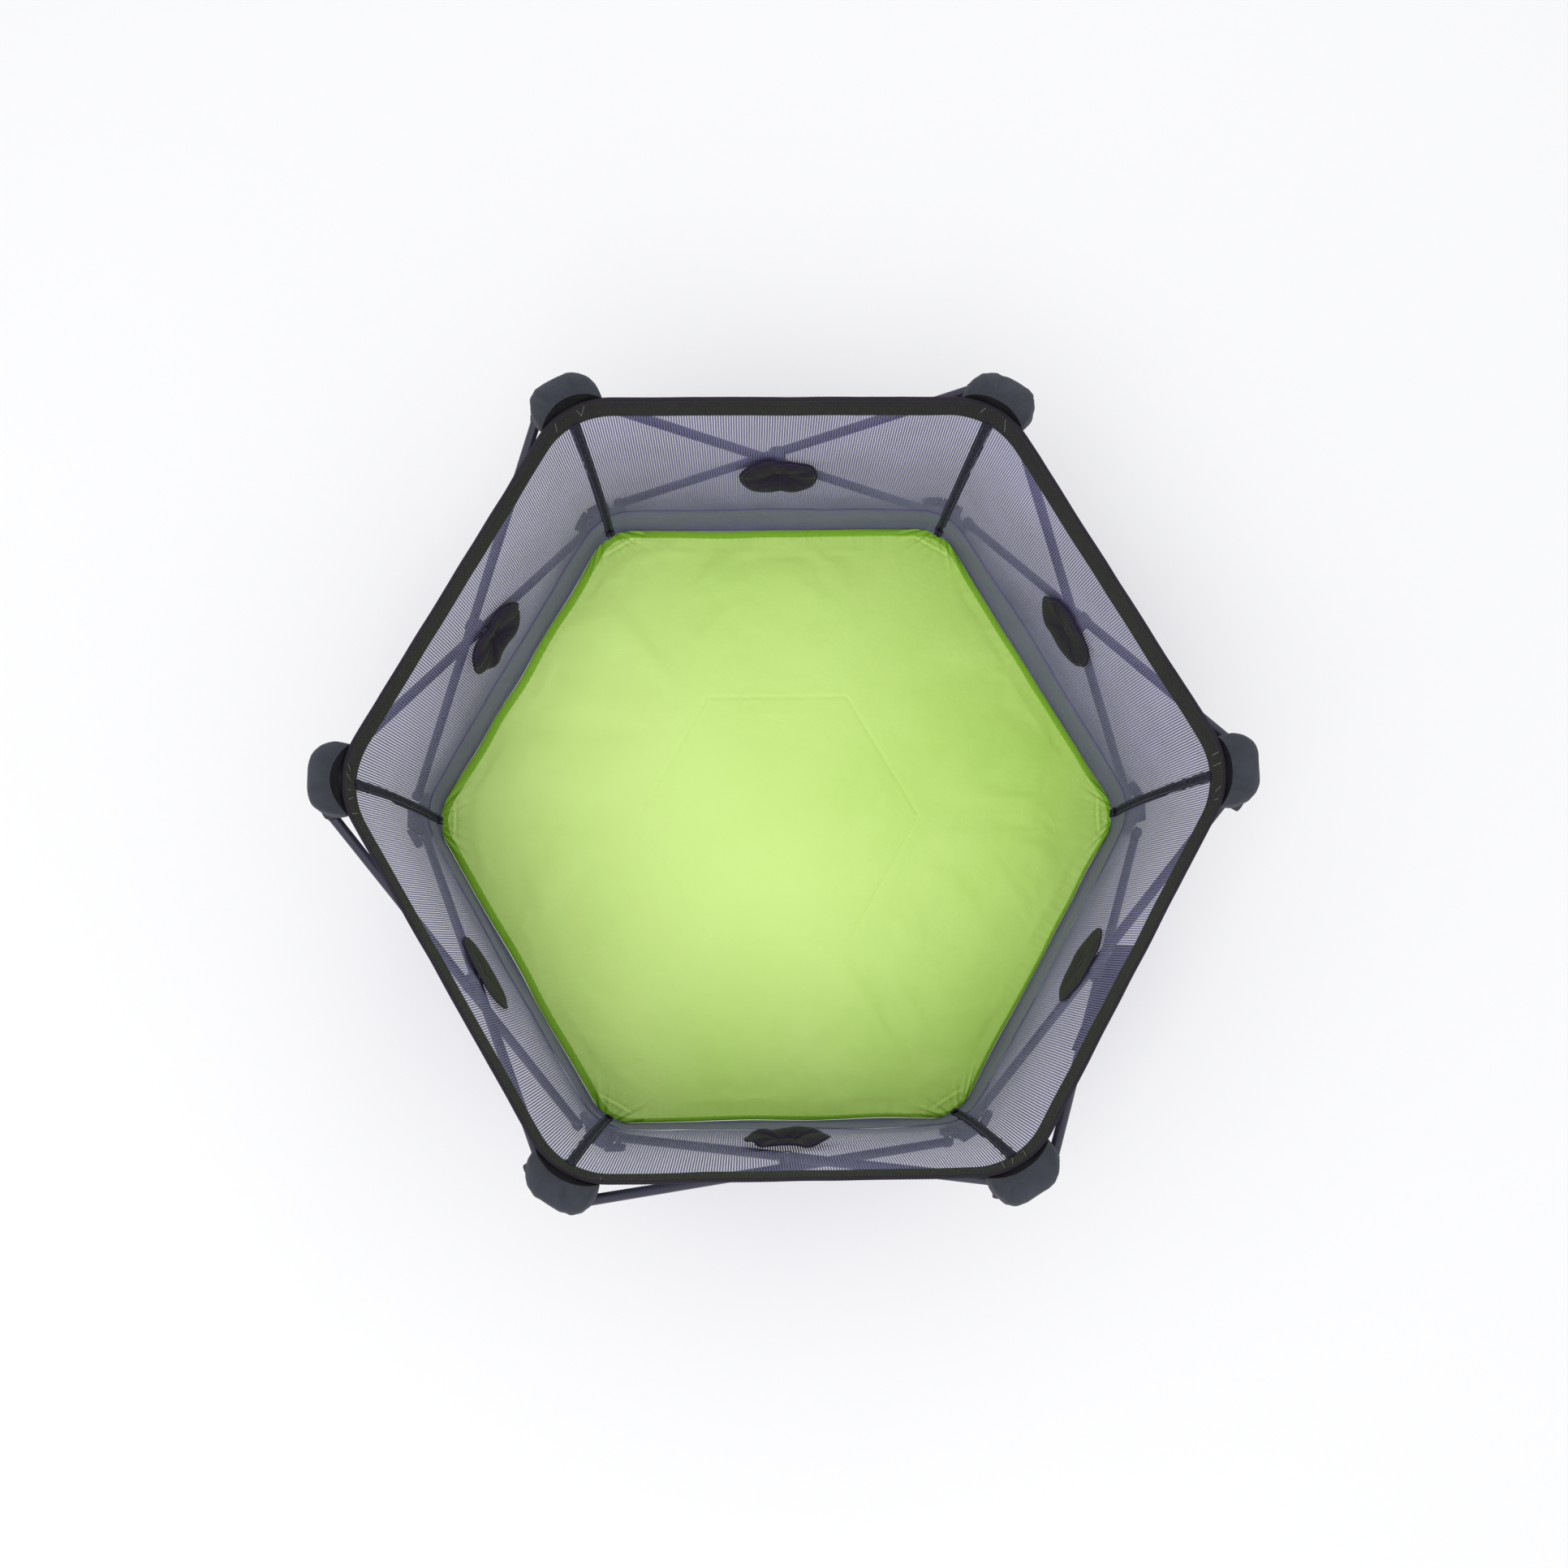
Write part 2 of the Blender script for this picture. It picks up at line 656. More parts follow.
def sew(name, seams, finish, body, pitch=0.004, width=0.00045, length=0.0014):
    """Sews along each seam, a list of points in place."""
    lines = bpy.data.meshes.new(name)
    points = []
    edges = []
    for seam in seams:
        edges += [(len(points) + i, len(points) + i + 1) for i in range(len(seam) - 1)]
        points += seam
    lines.from_pydata(points, edges, [])
    holder = bpy.data.objects.new(name, lines)
    scene.collection.objects.link(holder)
    maker = holder.modifiers.new("stitches", "NODES")
    maker.node_group = stitches
    for label, value in (("Pitch", pitch), ("Width", width), ("Length", length), ("Thread", finish)):
        maker[stitch_inputs[label]] = value
    bpy.context.view_layer.update()
    seen = holder.evaluated_get(bpy.context.evaluated_depsgraph_get())
    mesh = bpy.data.meshes.new_from_object(seen)
    mesh.name = name
    bpy.data.objects.remove(holder)
    mesh.shade_smooth()
    return show(name, mesh, finish, body)


def placed(turn, points):
    return [turn @ point for point in points]


black_thread = thread("black_thread", (0.01, 0.01, 0.011), (0.03, 0.03, 0.034))
pale_thread = thread("pale_thread", (0.35, 0.34, 0.34), (0.6, 0.59, 0.58))
indigo_thread = thread("indigo_thread", (0.05, 0.048, 0.1), (0.1, 0.095, 0.19))
SEAM_STEPS = 60
for number in SIDES:
    turn = side_turn(number)
    seams = []
    for height in (RIM_TOP - 0.0045, RIM_TOP - RIM_HEIGHT + 0.004):
        for inward in (RIM_IN + 0.0002, -RIM_OUT - 0.0002):
            places = [1.98 * step / SEAM_STEPS - 0.99 for step in range(SEAM_STEPS + 1)]
            seams.append(placed(turn, [
                tub(along, height, inward + rim_lean(number, along)[0]) for along in places]))
    rows = sew(f"rim_stitches_{number}", seams, black_thread, f"upper_corner_{number}")
    fold_side(rows)
    height = SKIRT_TOP - HEM + 0.002
    places = [2 * step / SEAM_STEPS - 1 for step in range(SEAM_STEPS + 1)]
    hem = placed(turn, [tub(along, height, slack(number, along, height) + 0.0004) for along in places])
    row = sew(f"skirt_stitches_{number}", [hem], indigo_thread, f"upper_corner_{number}")
    fold_side(row)
    tacks = []
    luck = random.Random(number)
    for along in luck.sample((-0.96, -0.91, -0.84, 0.87, 0.93, 0.97), 3):
        top = RIM_TOP - 0.004 - 0.006 * luck.random()
        low = top - 0.014 - 0.02 * luck.random()
        lean = 0.05 * (luck.random() - 0.5)
        tacks.append(placed(turn, [
            tub(along + lean * step / 4, top + (low - top) * step / 4, RIM_IN + 0.0003)
            for step in range(5)]))
    tack = sew(f"rim_tacks_{number}", tacks, pale_thread, f"upper_corner_{number}",
               0.0015, 0.00022, 0.0011)
    fold_side(tack)


# The corner seams: a navy binding tape sewn down the inside of each corner, from the rim
# to the floor, puckered by its two rows of stitches. It stays with its corner.
BINDING_HALF = 0.0075
BINDING_UP = 120


def bound_tape():
    material, place, sockets = new_cloth("binding_tape", 0.8, Specular_IOR_Level=0.15,
                                         Sheen_Weight=0.03)
    rib = (place.part(1) * (2 * math.pi / 0.0016)).sine()
    rubbed = place.stretched(1, 0.35, 1).cloud(260, 4, 0.7)
    colour = (rubbed + 0.12 * rib).step(0.42, 0.8).between((0.008, 0.006, 0.022), (0.060, 0.052, 0.120))
    dress(sockets, colour, place.raised(rib + 2 * rubbed, 0.7, 0.0006))
    return material


def corner_point(across, height, inward):
    """A point of the tub's inner face near a corner, with X out through that corner."""
    length = corner_length(height)
    radius = length / math.tan(HALF)
    centre = (NET_FACE - radius) / math.cos(HALF)
    turn = across / radius
    reach = radius - inward
    return Vector((centre + reach * math.cos(turn), reach * math.sin(turn), height))


tape = bound_tape()
binding_low = TUB_FOOT + 0.01
binding_high = RIM_TOP - RIM_HEIGHT + 0.006
for number in SIDES:
    def tape_spot(u, v):
        height = binding_low + (binding_high - binding_low) * v
        across = (2 * u - 1) * BINDING_HALF * (1 + 0.16 * wave(70 * height, u, number + 50))
        crown = 0.0016 * math.cos(math.pi * (u - 0.5)) ** 0.5
        crown += 0.0007 * wave(60 * height, 4 * u, number + 51)
        return corner_point(across, height, slack(number, -1, height) + 0.0008 + crown)

    def tape_flat(u, v):
        return ((2 * u - 1) * BINDING_HALF + number, v * (binding_high - binding_low))

    mesh = cloth_grid(f"corner_binding_{number}", 10, BINDING_UP, tape_spot, tape_flat)
    mesh.transform(corner_turn(number))
    binding = show(f"corner_binding_{number}", mesh, tape, f"upper_corner_{number}")
    thicken(binding, 0.0009)
    rows = []
    for across in (-0.0052, 0.0052):
        rows.append(placed(corner_turn(number), [
            corner_point(across, height, slack(number, -1, height) + 0.0027)
            for height in np.linspace(binding_low + 0.003, binding_high - 0.01, 60)]))
    sew(f"binding_stitches_{number}", rows, indigo_thread, f"upper_corner_{number}",
        0.0038, 0.0005, 0.0014)


# The corner ties: each lower bracket holds a strap that slides up inside a cloth sleeve on
# the tub's corner, so the tub's foot stays tied to its bracket while the pen folds.
STRAP_HALF = 0.006
SLEEVE_HALF = 0.008


def flat_strap(name, half_wide, thickness, route, body, finish, turn):
    """A flat strap along a route of (out, height) points, its width along the corner's face."""
    half_thick = thickness / 2
    section_steps = rounded_section(-half_wide, half_wide, -half_thick, half_thick, 0.9 * half_thick, 2)
    around = girths(section_steps)
    rings = []
    flats = []
    run = 0.0
    for index, (out, height) in enumerate(route):
        before = route[max(index - 1, 0)]
        after = route[min(index + 1, len(route) - 1)]
        heading = Vector((after[0] - before[0], after[1] - before[1])).normalized()
        if index:
            run += math.dist(route[index - 1], route[index])
        rings.append([Vector((out + heading.y * y, x, height - heading.x * y)) for x, y in section_steps])
        flats.append([(girth, run) for girth in around])
    mesh = tube_mesh(name, rings, flats)
    mesh.transform(turn)
    return show(name, mesh, finish, body)


def up_the_seam(number, low, high):
    """Points up the outside of a corner seam, each as (out, height)."""
    heights = [low + (high - low) * step / 16 for step in range(17)]
    return [(corner_point(0, height, slack(number, -1, height) - 0.0028).x, height) for height in heights]


for number in SIDES:
    turn = corner_turn(number)
    strap_route = [(0.584, 0.070), (0.582, 0.078), (0.577, 0.088)] + up_the_seam(number, 0.100, 0.350)
    flat_strap(f"corner_strap_{number}", STRAP_HALF, 0.0012, strap_route,
               f"lower_corner_{number}", tape, turn)
    sleeve_route = up_the_seam(number, 0.100, 0.334)
    flat_strap(f"strap_sleeve_{number}", SLEEVE_HALF, 0.0032, sleeve_route,
               f"upper_corner_{number}", tape, turn)
    edge_rows = [placed(turn, [Vector((out + 0.0017, across, height)) for out, height in sleeve_route])
                 for across in (-0.006, 0.006)]
    sew(f"sleeve_stitches_{number}", edge_rows, indigo_thread, f"upper_corner_{number}")
    loop_route = [(0.5600, 0.0062), (0.5650, 0.0085), (0.5672, 0.0130), (0.5672, 0.0190),
                  (0.5660, 0.0270), (0.5645, 0.0360), (0.5625, 0.0460)]
    flat_strap(f"floor_loop_{number}", 0.0065, 0.0016, loop_route,
               f"upper_corner_{number}", tape, turn)
    sew(f"floor_loop_stitches_{number}", [placed(turn, [Vector((0.5662, across, 0.019)),
                                                        Vector((0.5615, across, 0.045))])
                                          for across in (-0.004, 0.004)],
        indigo_thread, f"upper_corner_{number}")


# The corner covers: a slate cloth hood sewn to the rim over each upper bracket, lightly
# padded, with a crease over its crown and a mouth towards the rim that shows black lining.
COVER_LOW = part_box("corner_cover_1")[0].z
COVER_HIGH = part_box("corner_cover_1")[1].z
COVER_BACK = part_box("corner_cover_1")[0].x
COVER_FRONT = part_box("corner_cover_1")[1].x
COVER_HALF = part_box("corner_cover_1")[1].y
COVER_AROUND = 72
BRACKET_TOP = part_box("upper_bracket_1")[1].z
BRACKET_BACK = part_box("upper_bracket_1")[0].x
# corner by corner: how far the mouth gapes, how lumpy the cloth is, how it leans sideways
GAPE = (0.003, 0.004, 0.009, 0.012, 0.005, 0.003)
LUMPS = (0.0012, 0.0036, 0.0030, 0.0010, 0.0022, 0.0018)
LEAN = (0.004, -0.005, 0.004, -0.001, 0.006, -0.005)


def slate_cloth():
    material, place, sockets = new_cloth("slate_polyester", 0.8, Specular_IOR_Level=0.2,
                                         Sheen_Weight=0.12)
    weave = place.woven(0.0011)
    fuzz = place.cloud(500, 3, 0.7)
    shade = 0.25 * weave + 0.4 * fuzz + 0.5 * place.cloud(30, 3)
    colour = shade.step(0.1, 0.9).between((0.020, 0.023, 0.032), (0.054, 0.060, 0.076))
    dress(sockets, colour, place.raised(weave + fuzz, 0.6, 0.0005))
    return material


def black_lining():
    material, place, sockets = new_cloth("black_lining", 0.9, Specular_IOR_Level=0.1)
    dress(sockets, place.cloud(60, 3).between((0.003, 0.003, 0.004), (0.009, 0.009, 0.011)))
    return material


def rim_face(across):
    """How far out the rim's outer face is at a corner, this far across it."""
    radius = RIM_CORNER / math.tan(HALF)
    centre = (NET_FACE - radius) / math.cos(HALF)
    return centre + math.sqrt((radius + RIM_OUT) ** 2 - across ** 2)


def cover_outline(number, share):
    """The hood's plan, from one end at the rim round the front to the other: (out, across)."""
    angle = math.pi * (share - 0.5)
    deep = abs(math.cos(angle)) ** 0.62
    wide = COVER_HALF * math.copysign(abs(math.sin(angle)) ** 0.52, angle) * (1 - 0.17 * deep ** 1.4)
    lump = LUMPS[number - 1] * 2 * wave(4.4 * share, 1, number + 64) * deep
    out = COVER_BACK + (COVER_FRONT - COVER_BACK) * deep - abs(lump) * 0.6
    return out, wide + lump + LEAN[number - 1] * deep


slate, lining = slate_cloth(), black_lining()
for number in SIDES:
    rings = []
    flats = []
    lumps = LUMPS[number - 1]
    for step in range(COVER_AROUND + 1):
        share = step / COVER_AROUND
        out, across = cover_outline(number, share)
        lip_across = (2 * share - 1) * (COVER_HALF - 0.004)
        mid = math.cos(math.pi / 2 * (2 * share - 1))
        gape = 0.0012 + GAPE[number - 1] * max(mid, 0) ** 1.2
        rim_out = rim_face(lip_across)
        puff = lumps * wave(5 * share, 0, number + 60)
        crease = math.exp(-((share - 0.5 - 0.05 * wave(number, 1, 3)) / 0.014) ** 2)
        fold = 0.8 * lumps * wave(13 * share, 2, number + 61)
        drop = 0.012 * abs(2 * share - 1) ** 5
        crown = COVER_HIGH - drop - max(puff, 0)
        lip_height = max(crown - 0.011, BRACKET_TOP + 0.0042 - 0.5 * max(abs(lip_across) - 0.018, 0))
        away = Vector((out - COVER_BACK + 0.004, across * 0.5)).normalized()

        def at(part, height, swell=0.0):
            x = out + (rim_out + gape - out) * part
            y = across + (lip_across - across) * part
            return Vector((x + away.x * swell, y + away.y * swell, height))

        tall = crown - COVER_LOW
        lining_out = min(rim_out + 0.0006, BRACKET_BACK - 0.0006)
        ring = [
            at(0.10, COVER_LOW + 0.0012), at(0.0, COVER_LOW, -0.0006), at(0.0, COVER_LOW + 0.003, 0.0),
            at(0.0, COVER_LOW + 0.3 * tall, 0.0012 + fold), at(0.0, COVER_LOW + 0.58 * tall, 0.0008 + fold),
            at(0.0, COVER_LOW + 0.8 * tall, -0.0012 + fold), at(0.08, crown - 0.0032 + fold),
            at(0.2, crown - 0.0008 - 0.0014 * crease), at(0.45, crown + fold - 0.0018 * crease),
            at(0.72, crown - 0.0030 - 0.0014 * crease + fold), at(0.93, crown - 0.0078 + 0.5 * fold),
            at(1.0, lip_height), Vector((lining_out, lip_across, lip_height - 0.0008)),
            Vector((lining_out, lip_across, RIM_TOP + 0.0008)),
            Vector((rim_out + 0.0004, lip_across, COVER_LOW + 0.006)),
            Vector((rim_out + 0.0010, lip_across, COVER_LOW + 0.0015)),
        ]
        end = Vector((rim_out + 0.001, lip_across, COVER_LOW + 0.012))
        closing = 0.9 * max(0.0, (abs(2 * share - 1) - 0.9) / 0.1) ** 2
        ring = [point.lerp(end, closing) for point in ring]
        rings.append(ring)
        around = girths([tuple(point) for point in ring])
        flats.append([(share * 0.16 + number, girth) for girth in around])
    mesh = tube_mesh(f"corner_cover_cloth_{number}", rings, flats)
    columns = len(rings[0])
    mesh.transform(corner_turn(number))
    cover = show(f"corner_hood_{number}", mesh, [slate, lining], f"upper_corner_{number}")
    lined = [int(len(face.vertices) == 4 and 11 <= face.index % columns <= 13) for face in mesh.polygons]
    mesh.polygons.foreach_set("material_index", lined)
    smooth = cover.modifiers.new("soft_cloth", "SUBSURF")
    smooth.levels = smooth.render_levels = 1
    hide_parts(f"corner_cover_{number}")
    mouth = [ring[10] + Vector((0, 0, 0.0004)) for ring in rings[6:-6]]
    foot_row = [ring[3].lerp(ring[2], 0.35) * 1.0006 for ring in rings[5:-5]]
    rows = [placed(corner_turn(number), row) for row in (mouth, foot_row)]
    sew(f"cover_stitches_{number}", rows, black_thread, f"upper_corner_{number}",
        0.0034, 0.0004, 0.0012)


# The centre patches: a round of black coated nylon over each crossing, tied through the
# netting to the bars at its middle only, so that it stands off in folds round the knot.
PATCH_WIDE = 0.061
PATCH_TALL = 0.058
PATCH_RINGS = 24
PATCH_AROUND = 108
PATCH_FACE = NET_FACE - 0.0024
KNOT = 0.0055
# how bunched up each patch is, side by side
BUNCHING = (0.45, 0.8, 1.0, 0.06, 0.95, 0.12)


def coated_nylon():
    material, place, sockets = new_cloth("coated_nylon", 0.6, Specular_IOR_Level=0.12,
                                         Sheen_Weight=0.02)
    crease = place.cloud(70, 5, 0.65)
    colour = crease.between((0.006, 0.003, 0.012), (0.030, 0.019, 0.048))
    bump = place.raised(0.4 * place.woven(0.0009) + 8 * crease, 0.35, 0.0008)
    dress(sockets, colour, bump, 0.5 + 0.25 * crease)
    return material


nylon = coated_nylon()


def patch_spot(number, ring, angle):
    """A point of a patch: ring runs from 0 at the knot to 1 at the edge."""
    bunch = BUNCHING[number - 1]
    low = (1 - math.sin(angle)) / 2
    notch = 0.20 * bunch * math.exp(-((angle % (2 * math.pi) - 1.75) / 0.26) ** 2)
    notch += 0.10 * bunch * math.exp(-((angle % (2 * math.pi) - 4.5) / 0.4) ** 2)
    ragged = 0.06 * (0.25 + bunch) * wave(1.8 * math.cos(angle) + 3, 1.8 * math.sin(angle), number + 70)
    reach = ring * (1 - notch * ring + ragged * ring)
    sweep = 5 * angle + 4 * wave(1.1 * math.cos(angle), 1.1 * math.sin(angle), number + 71)
    crease = math.sin(sweep)
    fine = math.sin(3 * sweep + 5 * wave(2 * ring, math.cos(angle), number + 72))
    fine *= math.exp(-(ring / 0.55) ** 2)
    stand = 0.0008 + bunch * ring ** 1.2 * (0.004 + 0.012 * low)
    stand += (0.0014 + 0.006 * bunch) * math.sin(math.pi * min(ring * 1.05, 1)) ** 0.8
    stand += ring * (0.0006 + 0.0036 * bunch) * (1 + crease) * (1.15 - 0.6 * ring)
    stand += 0.0014 * ring * (1 + fine) * (0.3 + bunch)
    stand -= 0.0018 * max(0, (ring - 0.9) / 0.1) * (0.3 + bunch)
    return Vector((PATCH_FACE - max(stand, 0.0006), PATCH_WIDE * reach * math.cos(angle),
                   PATCH_HEIGHT + PATCH_TALL * reach * math.sin(angle)))


for number in SIDES:
    bunch = BUNCHING[number - 1]
    turn = side_turn(number)
    points = [patch_spot(number, 0, 0)]
    flat_places = [(number, 0.0)]
    faces = []
    for ring in range(1, PATCH_RINGS + 1):
        for step in range(PATCH_AROUND):
            angle = 2 * math.pi * step / PATCH_AROUND
            points.append(patch_spot(number, ring / PATCH_RINGS, angle))
            flat_places.append((number + PATCH_WIDE * ring / PATCH_RINGS * math.cos(angle),
                                PATCH_TALL * ring / PATCH_RINGS * math.sin(angle)))
    for step in range(PATCH_AROUND):
        after = (step + 1) % PATCH_AROUND
        faces.append((0, 1 + after, 1 + step))
        for ring in range(PATCH_RINGS - 1):
            low = 1 + ring * PATCH_AROUND
            high = low + PATCH_AROUND
            faces.append((low + step, low + after, high + after, high + step))
    mesh = bpy.data.meshes.new(f"gathered_patch_{number}")
    mesh.from_pydata(points, [], faces)
    layer = mesh.uv_layers.new(name="cloth")
    for loop in mesh.loops:
        layer.data[loop.index].uv = flat_places[loop.vertex_index]
    mesh.shade_smooth()
    mesh.transform(turn)
    patch = show(f"gathered_patch_{number}", mesh, nylon, f"inner_bar_{number}")
    across, middle = turn @ Vector((0, 1, 0)), turn @ Vector((NET_FACE, 0, PATCH_HEIGHT))
    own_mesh(patch)
    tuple(across)
    thicken(patch, 0.0009)
    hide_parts(f"centre_patch_{number}")
    ties = []
    knot_out = PATCH_FACE - 0.0030 - 0.001 * bunch
    for lean in (-0.5, 0.1, 0.7):
        arms = [(KNOT * reach * math.cos(lean), KNOT * reach * math.sin(lean)) for reach in (-1, -0.3, 0.3, 1)]
        ties.append(placed(turn, [Vector((knot_out, side, PATCH_HEIGHT + up)) for side, up in arms]))
    sew(f"patch_knot_{number}", ties, black_thread, f"inner_bar_{number}", 0.0012, 0.0007, 0.0012)
    border = placed(turn, [patch_spot(number, 0.92, 2 * math.pi * step / 90) - Vector((0.0007, 0, 0))
                           for step in range(91)])
    row = sew(f"patch_stitches_{number}", [border], indigo_thread, f"inner_bar_{number}",
              0.0036, 0.0003, 0.0012)
    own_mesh(row)
    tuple(across)


# The floor pad: green satin nylon over thin wadding. Its top is sewn down along an inner
# hexagon, its edge is a deeper green gusset that bulges out, and each corner has a tuck.
PAD_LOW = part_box("floor_pad_2")[0].z
PAD_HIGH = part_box("floor_pad_2")[1].z
PAD_RINGS = 49
PAD_STITCHED_RING = 20
SEAM_HEIGHT = PAD_HIGH - 0.0015
GUSSET = 0.015
GUSSET_ROWS = 6
# how far the gusset shows beyond the seam, side by side
GUSSET_SHOWN = (0.75, 0.9, 1.0, 0.85, 0.4, 0.35)
PUFF = 0.0055
PUFF_FRAMES = 24


def gusset_width(sector, along):
    """The gusset's width in plan, blended between neighbouring sides at the corners."""
    own = GUSSET_SHOWN[sector]
    beside = GUSSET_SHOWN[(sector + (1 if along > 0 else -1)) % 6]
    return GUSSET * (own + (beside - own) * abs(along) ** 10 / 2)


def pad_edge(sector, along, inset=0.0):
    edge = pad_outline(sector + 1, along)
    middle = Vector((edge.x, edge.y, 0)).normalized()
    straight = abs(along) < 0.9
    edge -= Vector((inset, 0, 0)) if straight else middle * inset
    return side_turn(sector + 1) @ edge


def lattice_index(ring, sector, step):
    if ring == 0:
        return 0
    return 1 + 3 * ring * (ring - 1) + (sector * ring + step) % (6 * ring)


pad_points = [Vector((0, 0, SEAM_HEIGHT))]
for ring in range(1, PAD_RINGS + 1):
    share = ring / PAD_RINGS
    for sector in range(6):
        for step in range(ring):
            along = 2 * step / ring - 1
            edge = pad_edge(sector, along, gusset_width(sector, along))
            even = side_turn(sector + 1) @ Vector((NET_FACE, NET_FACE * math.tan(HALF) * along, 0))
            spot = (even + (edge - even) * share ** 3) * share
            spot.z = SEAM_HEIGHT
            pad_points.append(spot)
pad_faces = []
pad_tags = []
for sector in range(6):
    for ring in range(1, PAD_RINGS + 1):
        for step in range(ring):
            outer, after = lattice_index(ring, sector, step), lattice_index(ring, sector, step + 1)
            inner = lattice_index(ring - 1, sector, step)
            pad_faces.append((outer, after, inner))
            pad_tags.append(sector * 2)
            if step < ring - 1:
                pad_faces.append((inner, after, lattice_index(ring - 1, sector, step + 1)))
                pad_tags.append(sector * 2)
seam_start = lattice_index(PAD_RINGS, 0, 0)
around_pad = 6 * PAD_RINGS
seam_ring = [pad_points[seam_start + i].copy() for i in range(around_pad)]
rows = [list(range(seam_start, seam_start + around_pad))]
for row in range(1, GUSSET_ROWS + 1):
    down = row / GUSSET_ROWS
    first = len(pad_points)
    bulge = math.sin(math.pi * (0.5 * down / 0.55 if down < 0.55 else 0.5 + 0.12 * (down - 0.55) / 0.45))
    height = SEAM_HEIGHT - (SEAM_HEIGHT - PAD_LOW) * down ** 1.7
    for i in range(around_pad):
        sector, step = divmod(i, PAD_RINGS)
        edge = pad_edge(sector, 2 * step / PAD_RINGS - 1)
        spot = seam_ring[i].lerp(edge, bulge)
        pad_points.append(Vector((spot.x, spot.y, height)))
    rows.append(list(range(first, first + around_pad)))
for row in range(GUSSET_ROWS):
    for i in range(around_pad):
        after = (i + 1) % around_pad
        pad_faces.append((rows[row][i], rows[row + 1][i], rows[row + 1][after], rows[row][after]))
        pad_tags.append((i // PAD_RINGS) * 2 + 1)
pad_mesh = bpy.data.meshes.new("floor_pad")
pad_mesh.from_pydata(pad_points, [], pad_faces)
for tag in range(12):
    pad_mesh.materials.append(None)
pad_mesh.polygons.foreach_set("material_index", pad_tags)
pad = bpy.data.objects.new("floor_pad", pad_mesh)
scene.collection.objects.link(pad)
flat_pad = np.array([tuple(point) for point in pad_points])


def puff_by_cloth():
    """Blows the sewn top up a little as slack cloth, pinned at its seam and its stitching."""
    held = pad.vertex_groups.new(name="sewn")
    held.add(list(range(seam_start, len(pad_points))), 1.0, "REPLACE")
    stitched = [lattice_index(PAD_STITCHED_RING, sector, step)
                for sector in range(6) for step in range(PAD_STITCHED_RING)]
    held.add(stitched, 1.0, "REPLACE")
    cloth = pad.modifiers.new("wadding", "CLOTH")
    settings = cloth.settings
    settings.vertex_group_mass = "sewn"
    settings.use_pressure = True
    settings.uniform_pressure_force = 0.12
    settings.shrink_min = -0.012
    settings.quality = 5
    settings.tension_stiffness = settings.compression_stiffness = 12
    settings.bending_stiffness = 0.35
    settings.effector_weights.gravity = 0
    cloth.collision_settings.use_collision = False
    cloth.point_cache.frame_start, cloth.point_cache.frame_end = 1, PUFF_FRAMES
    for frame_number in range(1, PUFF_FRAMES + 1):
        scene.frame_set(frame_number)
    seen = pad.evaluated_get(bpy.context.evaluated_depsgraph_get())
    settled = np.zeros(len(pad_points) * 3)
    seen.data.vertices.foreach_get("co", settled)
    pad.modifiers.remove(cloth)
    scene.frame_set(1)
    return settled.reshape(-1, 3)


settled = puff_by_cloth()
moved = settled - flat_pad
moved[:, :2] = 0.003 * np.tanh(moved[:, :2] / 0.003)
flat_out = np.hypot(flat_pad[:, 0], flat_pad[:, 1])
flat_out *= np.cos(np.arctan2(flat_pad[:, 1], flat_pad[:, 0]) % (math.pi / 3) - HALF)
stitched_out = NET_FACE * PAD_STITCHED_RING / PAD_RINGS
from_stitching = 1 - np.exp(-((flat_out - stitched_out) / 0.06) ** 2)
from_edge = np.clip((NET_FACE - GUSSET - flat_out) / 0.07, 0, 1) ** 0.7
moved[:, 2] = np.clip(moved[:, 2], 0, None) * from_stitching * from_edge
moved[:, 2] *= PUFF / moved[:, 2].max()
pad_mesh.vertices.foreach_set("co", (flat_pad + moved).ravel())
finer = pad.modifiers.new("finer", "SUBSURF")
finer.levels = finer.render_levels = 2
bpy.context.view_layer.update()
fine_mesh = bpy.data.meshes.new_from_object(pad.evaluated_get(bpy.context.evaluated_depsgraph_get()))
bpy.data.objects.remove(pad)


def noises(x, y, z=None):
    """Noise at each x of an array, on the row y."""
    z = np.zeros(len(x)) if z is None else z
    return np.array([noise.noise(Vector((float(a), y, float(b)))) for a, b in zip(x, z)])


fine = np.zeros(len(fine_mesh.vertices) * 3)
fine_mesh.vertices.foreach_get("co", fine)
fine = fine.reshape(-1, 3)
bearing = np.arctan2(fine[:, 1], fine[:, 0])
from_middle = np.hypot(fine[:, 0], fine[:, 1])
off_side = (bearing % (math.pi / 3)) - HALF
out_side = from_middle * np.cos(off_side)
along_side = from_middle * np.sin(off_side)
off_corner = ((bearing + HALF) % (math.pi / 3)) - HALF
out_corner = from_middle * np.cos(off_corner)
along_corner = from_middle * np.sin(off_corner)
on_top = fine[:, 2] > PAD_HIGH - 0.005
PAD_TIP = (NET_FACE - FLOOR_CORNER / math.tan(HALF)) / math.cos(HALF) + FLOOR_CORNER / math.tan(HALF)
ripple = noises(90 * along_side, 2.5)
quilt = -0.0012 * np.exp(-((out_side - stitched_out) / 0.003) ** 2) * (0.75 + 0.5 * ripple)
tuck_line = out_corner - (PAD_TIP - 0.026) - 0.02 * np.abs(along_corner)
tuck_span = np.exp(-(along_corner / 0.030) ** 4)
tuck = 0.0016 * np.exp(-(tuck_line / 0.0018) ** 2)
tuck = (tuck - 0.0012 * np.exp(-((tuck_line + 0.004) / 0.0022) ** 2)) * tuck_span
fan = np.degrees(np.arctan2(along_corner, PAD_TIP + 0.016 - out_corner))
uneven = noises(0.09 * fan, 3.1, (6 * bearing).astype(int))
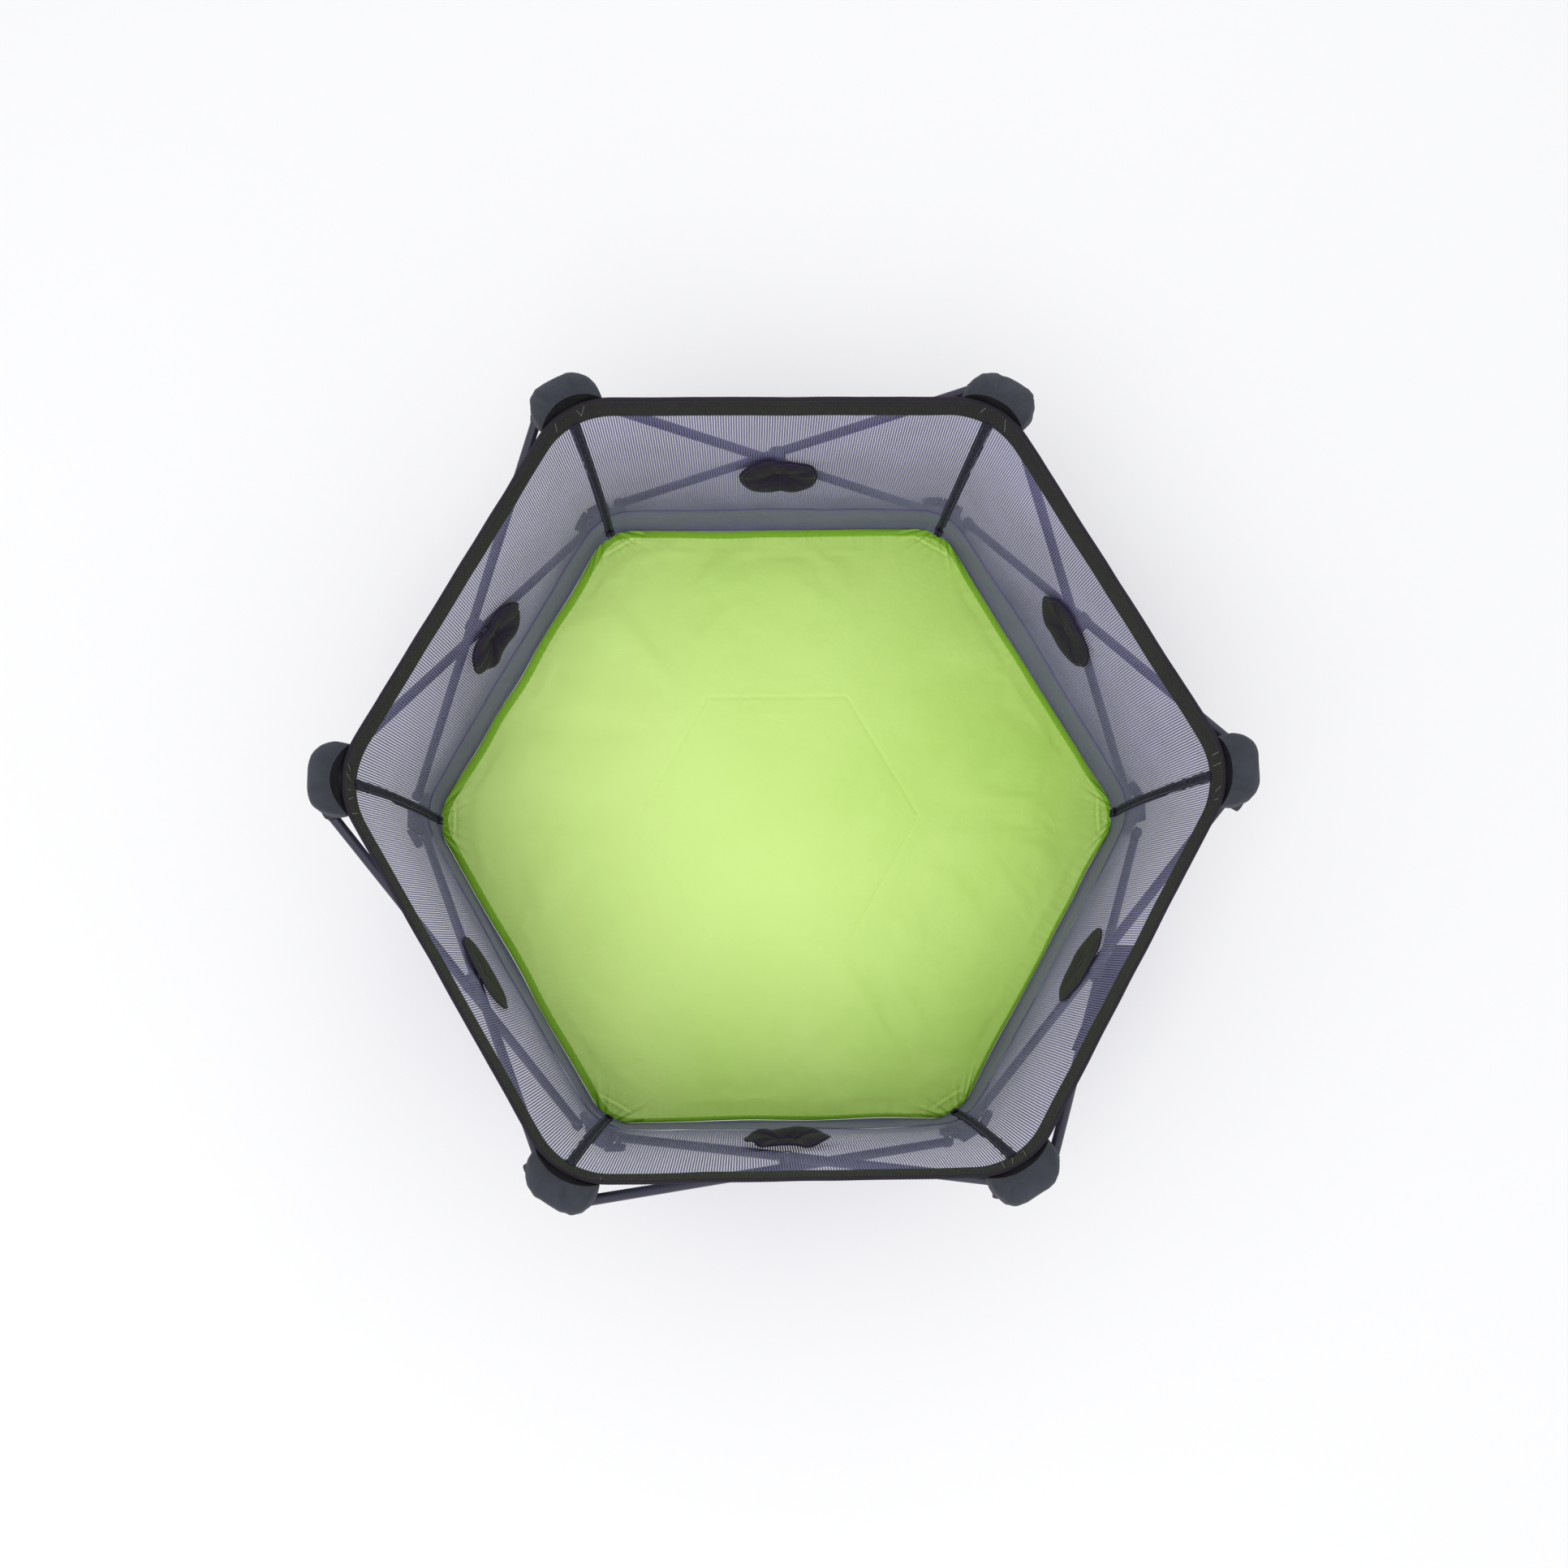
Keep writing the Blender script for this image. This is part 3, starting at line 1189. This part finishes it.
reach = np.clip(PAD_TIP - out_corner - 0.012, 0, None) / 0.026
gather = 0.0021 * np.exp(-reach ** 2) * np.sin(fan / 3.4 + 5 * uneven)
to_seam = NET_FACE - PAD_MARGIN - GUSSET - out_side
pucker = 0.0011 * np.exp(-(np.clip(to_seam, 0, None) / 0.016) ** 2) * noises(130 * along_side, 7.5)
fine[:, 2] += np.where(on_top, quilt + tuck + gather + pucker, 0)
fine_mesh.vertices.foreach_set("co", fine.ravel())
fine_mesh.update()
whole_normals = np.zeros(len(fine_mesh.vertices) * 3)
fine_mesh.vertex_normals.foreach_get("vector", whole_normals)
whole_normals = whole_normals.reshape(-1, 3)


PALE_SPOT = (-0.2, 0.04, 0)


def green_satin(name, dark, light, faded, roughness):
    """Satin whose colour drifts from dark to light. The more faded, the paler round its spot."""
    material, place, sockets = new_finish(name, roughness, Specular_IOR_Level=0.4,
                                          Sheen_Weight=0.1, Sheen_Roughness=0.4)
    cloudy = place.cloud(2.6, 3, 0.5)
    dimples = place.stretched(1, 1, 0.2).cloud(38, 4, 0.6)
    sockets_in = {0: place, 1: PALE_SPOT}
    from_middle = place.node("ShaderNodeVectorMath", {"operation": "DISTANCE"}, sockets_in, 1)
    pale = faded * (1.0 - from_middle * 0.95) + 0.7 * (cloudy - 0.5) + 0.1 * (dimples - 0.5)
    bump = place.raised(0.15 * place.woven(0.0008) + 7 * dimples, 0.22, 0.0009)
    dress(sockets, pale.step(-0.3, 1.0).between(dark, light), bump, roughness - 0.05 + 0.14 * dimples)
    return material


satin = green_satin("green_satin", (0.30, 0.60, 0.010), (0.65, 0.90, 0.25), 1.0, 0.5)
gusset_satin = green_satin("gusset_satin", (0.20, 0.47, 0.012), (0.33, 0.64, 0.04), 0.3, 0.5)
tags = np.zeros(len(fine_mesh.polygons), int)
fine_mesh.polygons.foreach_get("material_index", tags)
face_corners = [tuple(face.vertices) for face in fine_mesh.polygons]
for number in SIDES:
    chosen = [index for index in range(len(tags)) if tags[index] // 2 == number - 1]
    used = sorted({corner for index in chosen for corner in face_corners[index]})
    renumber = {old: new for new, old in enumerate(used)}
    faces = [tuple(renumber[corner] for corner in face_corners[index]) for index in chosen]
    points = [tuple(fine[old]) for old in used]
    sides = {side for face in faces for side in zip(face, face[1:] + face[:1])}
    onward = {start: end for start, end in sides if (end, start) not in sides}
    below = {}
    for start in onward:
        x, y, z = points[start]
        below[start] = start if z < PAD_LOW + 0.0002 else len(points)
        if below[start] != start:
            points.append((x, y, PAD_LOW))
    walls = []
    for start, end in onward.items():
        wall = (end, start, below[start], below[end])
        corners_left = tuple(dict.fromkeys(wall))
        if len(corners_left) > 2:
            walls.append(corners_left)
    loop = [next(iter(onward))]
    while onward[loop[-1]] != loop[0]:
        loop.append(onward[loop[-1]])
    base = tuple(below[corner] for corner in reversed(loop))
    mesh = bpy.data.meshes.new(f"pad_wedge_{number}")
    mesh.from_pydata(points, [], faces + walls + [base])
    mesh.polygons.foreach_set("use_smooth", [True] * len(faces) + [False] * (len(walls) + 1))
    normals = [tuple(whole_normals[used[corner]]) for face in faces for corner in face]
    normals += [(0, 0, 0)] * (len(mesh.loops) - len(normals))
    mesh.normals_split_custom_set(normals)
    wedge = show(f"pad_wedge_{number}", mesh, [satin, gusset_satin], f"floor_{number}")
    finishes = [int(tags[index] % 2) for index in chosen] + [1] * (len(walls) + 1)
    mesh.polygons.foreach_set("material_index", finishes)
    turn = side_turn(number)
    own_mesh(wedge)
    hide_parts(f"floor_pad_{number}")
bpy.data.meshes.remove(fine_mesh)


scene.frame_set(1)
